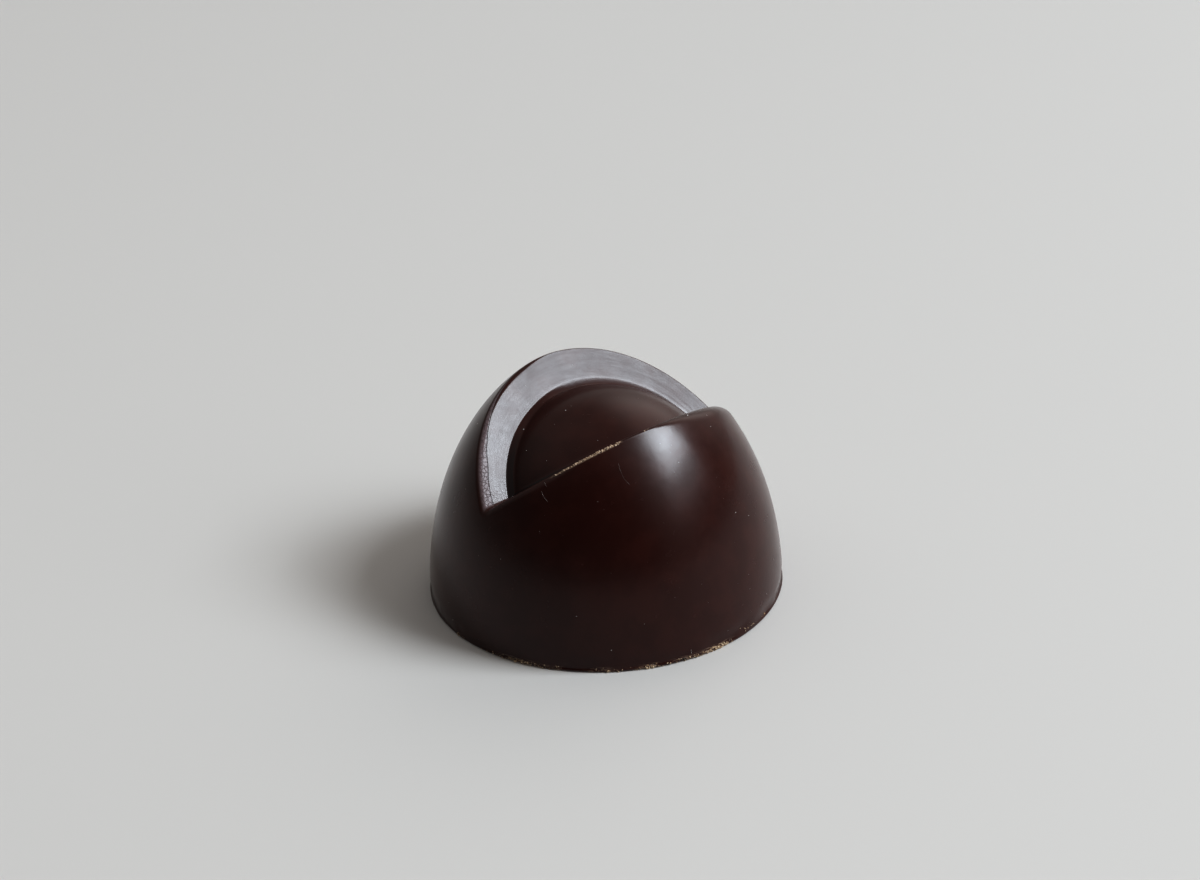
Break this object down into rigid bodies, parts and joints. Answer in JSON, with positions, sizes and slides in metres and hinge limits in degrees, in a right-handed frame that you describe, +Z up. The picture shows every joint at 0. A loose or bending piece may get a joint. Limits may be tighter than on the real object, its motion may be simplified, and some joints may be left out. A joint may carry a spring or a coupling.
{
  "type": "chocolate praline",
  "caption": "Moulded dark chocolate praline: a blunt dome on a flat base, with a V-shaped notch across its crown that bares a smaller ball inside.",
  "frame": {"origin": "the middle of the flat base, on the surface that the praline stands on", "axes": "+Z up, +X along the fold line of the notch, +Y towards the notch's back face, the one that leans back as a flat crescent round the ball"},
  "size_m": [0.03, 0.03, 0.0188],
  "materials": {
    "dark_chocolate": "gloss"
  },
  "bodies": {
    "root": {"praline": "dark_chocolate"}
  },
  "joints": []
}
